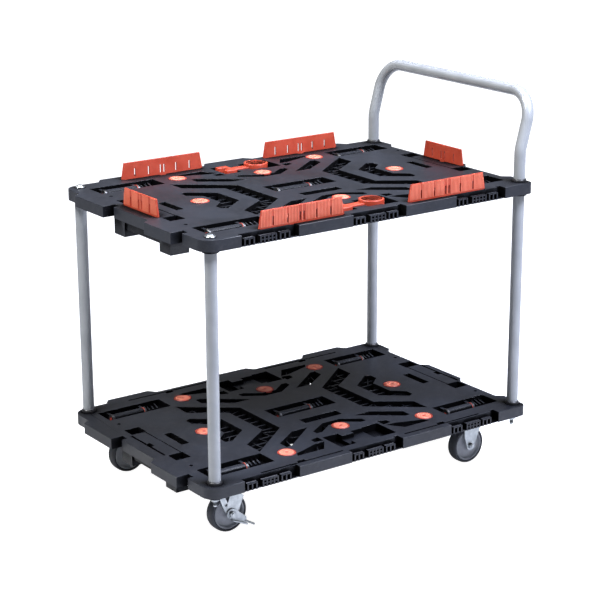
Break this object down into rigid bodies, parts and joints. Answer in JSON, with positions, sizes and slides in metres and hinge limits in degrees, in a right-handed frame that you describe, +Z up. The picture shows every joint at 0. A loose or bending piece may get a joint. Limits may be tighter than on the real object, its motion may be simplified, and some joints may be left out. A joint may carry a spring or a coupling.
{
  "type": "platform cart",
  "caption": "Two-tier platform cart with ribbed plastic decks, steel posts, a bent push handle, swivel and fixed casters and lift-out edge stoppers.",
  "frame": {"origin": "on the floor, under the middle of the cart's box in plan", "axes": "+X along the cart towards the push handle, +Y across it towards the side with the deck tabs, +Z up"},
  "size_m": [0.7818, 0.512, 0.7492],
  "materials": {
    "deck_plastic": "moulded polypropylene, fine matt grain",
    "collar_plastic": "moulded, smooth",
    "tube_paint": "grey baked paint, semi-gloss",
    "zinc_steel": "pressed steel, bright zinc plate",
    "tyre_rubber": "grey rubber, matt",
    "hub_plastic": "moulded nylon, satin",
    "orange_plastic": "moulded polypropylene, satin"
  },
  "bodies": {
    "frame": {"lower_deck": "deck_plastic", "upper_deck": "deck_plastic", "front_left_post": "tube_paint", "front_left_post_collar": "collar_plastic", "front_left_tie_bolt": "zinc_steel", "front_left_top_bolt": "zinc_steel", "front_right_post": "tube_paint", "front_right_post_collar": "collar_plastic", "front_right_tie_bolt": "zinc_steel", "front_right_top_bolt": "zinc_steel", "rear_left_post": "tube_paint", "rear_left_post_collar": "collar_plastic", "rear_left_tie_bolt": "zinc_steel", "left_handle_stud": "zinc_steel", "left_handle_collar": "collar_plastic", "rear_right_post": "tube_paint", "rear_right_post_collar": "collar_plastic", "rear_right_tie_bolt": "zinc_steel", "right_handle_stud": "zinc_steel", "right_handle_collar": "collar_plastic", "push_handle": "tube_paint", "front_left_caster_plate": "zinc_steel", "rear_left_caster_fork": "zinc_steel", "rear_left_caster_axle": "zinc_steel", "front_right_caster_plate": "zinc_steel", "rear_right_caster_fork": "zinc_steel", "rear_right_caster_axle": "zinc_steel"},
    "front_left_swivel": {"front_left_caster_fork": "zinc_steel", "front_left_caster_axle": "zinc_steel"},
    "front_left_brake": {"front_left_caster_brake": "zinc_steel"},
    "front_left_wheel": {"front_left_caster_tyre": "tyre_rubber", "front_left_caster_hub": "hub_plastic"},
    "rear_left_wheel": {"rear_left_caster_tyre": "tyre_rubber", "rear_left_caster_hub": "hub_plastic"},
    "front_right_swivel": {"front_right_caster_fork": "zinc_steel", "front_right_caster_axle": "zinc_steel"},
    "front_right_brake": {"front_right_caster_brake": "zinc_steel"},
    "front_right_wheel": {"front_right_caster_tyre": "tyre_rubber", "front_right_caster_hub": "hub_plastic"},
    "rear_right_wheel": {"rear_right_caster_tyre": "tyre_rubber", "rear_right_caster_hub": "hub_plastic"},
    "left_front_stopper": {"left_front_stopper": "orange_plastic"},
    "left_rear_stopper": {"left_rear_stopper": "orange_plastic"},
    "right_front_stopper": {"right_front_stopper": "orange_plastic"},
    "right_rear_stopper": {"right_rear_stopper": "orange_plastic"},
    "front_end_stopper": {"front_end_stopper": "orange_plastic"},
    "rear_end_stopper": {"rear_end_stopper": "orange_plastic"},
    "left_link": {"left_link": "orange_plastic"},
    "right_link": {"right_link": "orange_plastic"}
  },
  "joints": [
    {"name": "front_left_swivel_turn", "type": "hinge", "parent": "frame", "child": "front_left_swivel", "pos_m": [-0.32205, -0.183, 0.095], "axis": [0, 0, 1], "continuous": true},
    {"name": "front_left_wheel_spin", "type": "hinge", "parent": "front_left_swivel", "child": "front_left_wheel", "pos_m": [-0.29605, -0.183, 0.0375], "axis": [0, 1, 0], "continuous": true},
    {"name": "front_left_brake_lift", "type": "hinge", "parent": "front_left_swivel", "child": "front_left_brake", "pos_m": [-0.29605, -0.183, 0.0375], "axis": [0, -1, 0], "range_deg": [0, 35]},
    {"name": "rear_left_wheel_spin", "type": "hinge", "parent": "frame", "child": "rear_left_wheel", "pos_m": [0.27395, -0.183, 0.0375], "axis": [0, 1, 0], "continuous": true},
    {"name": "front_right_swivel_turn", "type": "hinge", "parent": "frame", "child": "front_right_swivel", "pos_m": [-0.32205, 0.173, 0.095], "axis": [0, 0, 1], "continuous": true},
    {"name": "front_right_wheel_spin", "type": "hinge", "parent": "front_right_swivel", "child": "front_right_wheel", "pos_m": [-0.29605, 0.173, 0.0375], "axis": [0, 1, 0], "continuous": true},
    {"name": "front_right_brake_lift", "type": "hinge", "parent": "front_right_swivel", "child": "front_right_brake", "pos_m": [-0.29605, 0.173, 0.0375], "axis": [0, -1, 0], "range_deg": [0, 35]},
    {"name": "rear_right_wheel_spin", "type": "hinge", "parent": "frame", "child": "rear_right_wheel", "pos_m": [0.27395, 0.173, 0.0375], "axis": [0, 1, 0], "continuous": true},
    {"name": "left_front_stopper_lift", "type": "slide", "parent": "frame", "child": "left_front_stopper", "axis": [0, 0, 1], "range_m": [0, 0.012]},
    {"name": "left_rear_stopper_lift", "type": "slide", "parent": "frame", "child": "left_rear_stopper", "axis": [0, 0, 1], "range_m": [0, 0.012]},
    {"name": "right_front_stopper_lift", "type": "slide", "parent": "frame", "child": "right_front_stopper", "axis": [0, 0, 1], "range_m": [0, 0.012]},
    {"name": "right_rear_stopper_lift", "type": "slide", "parent": "frame", "child": "right_rear_stopper", "axis": [0, 0, 1], "range_m": [0, 0.012]},
    {"name": "front_end_stopper_lift", "type": "slide", "parent": "frame", "child": "front_end_stopper", "axis": [0, 0, 1], "range_m": [0, 0.012]},
    {"name": "rear_end_stopper_lift", "type": "slide", "parent": "frame", "child": "rear_end_stopper", "axis": [0, 0, 1], "range_m": [0, 0.012]},
    {"name": "left_link_lift", "type": "slide", "parent": "frame", "child": "left_link", "axis": [0, 0, 1], "range_m": [0, 0.02]},
    {"name": "right_link_lift", "type": "slide", "parent": "frame", "child": "right_link", "axis": [0, 0, 1], "range_m": [0, 0.02]}
  ]
}
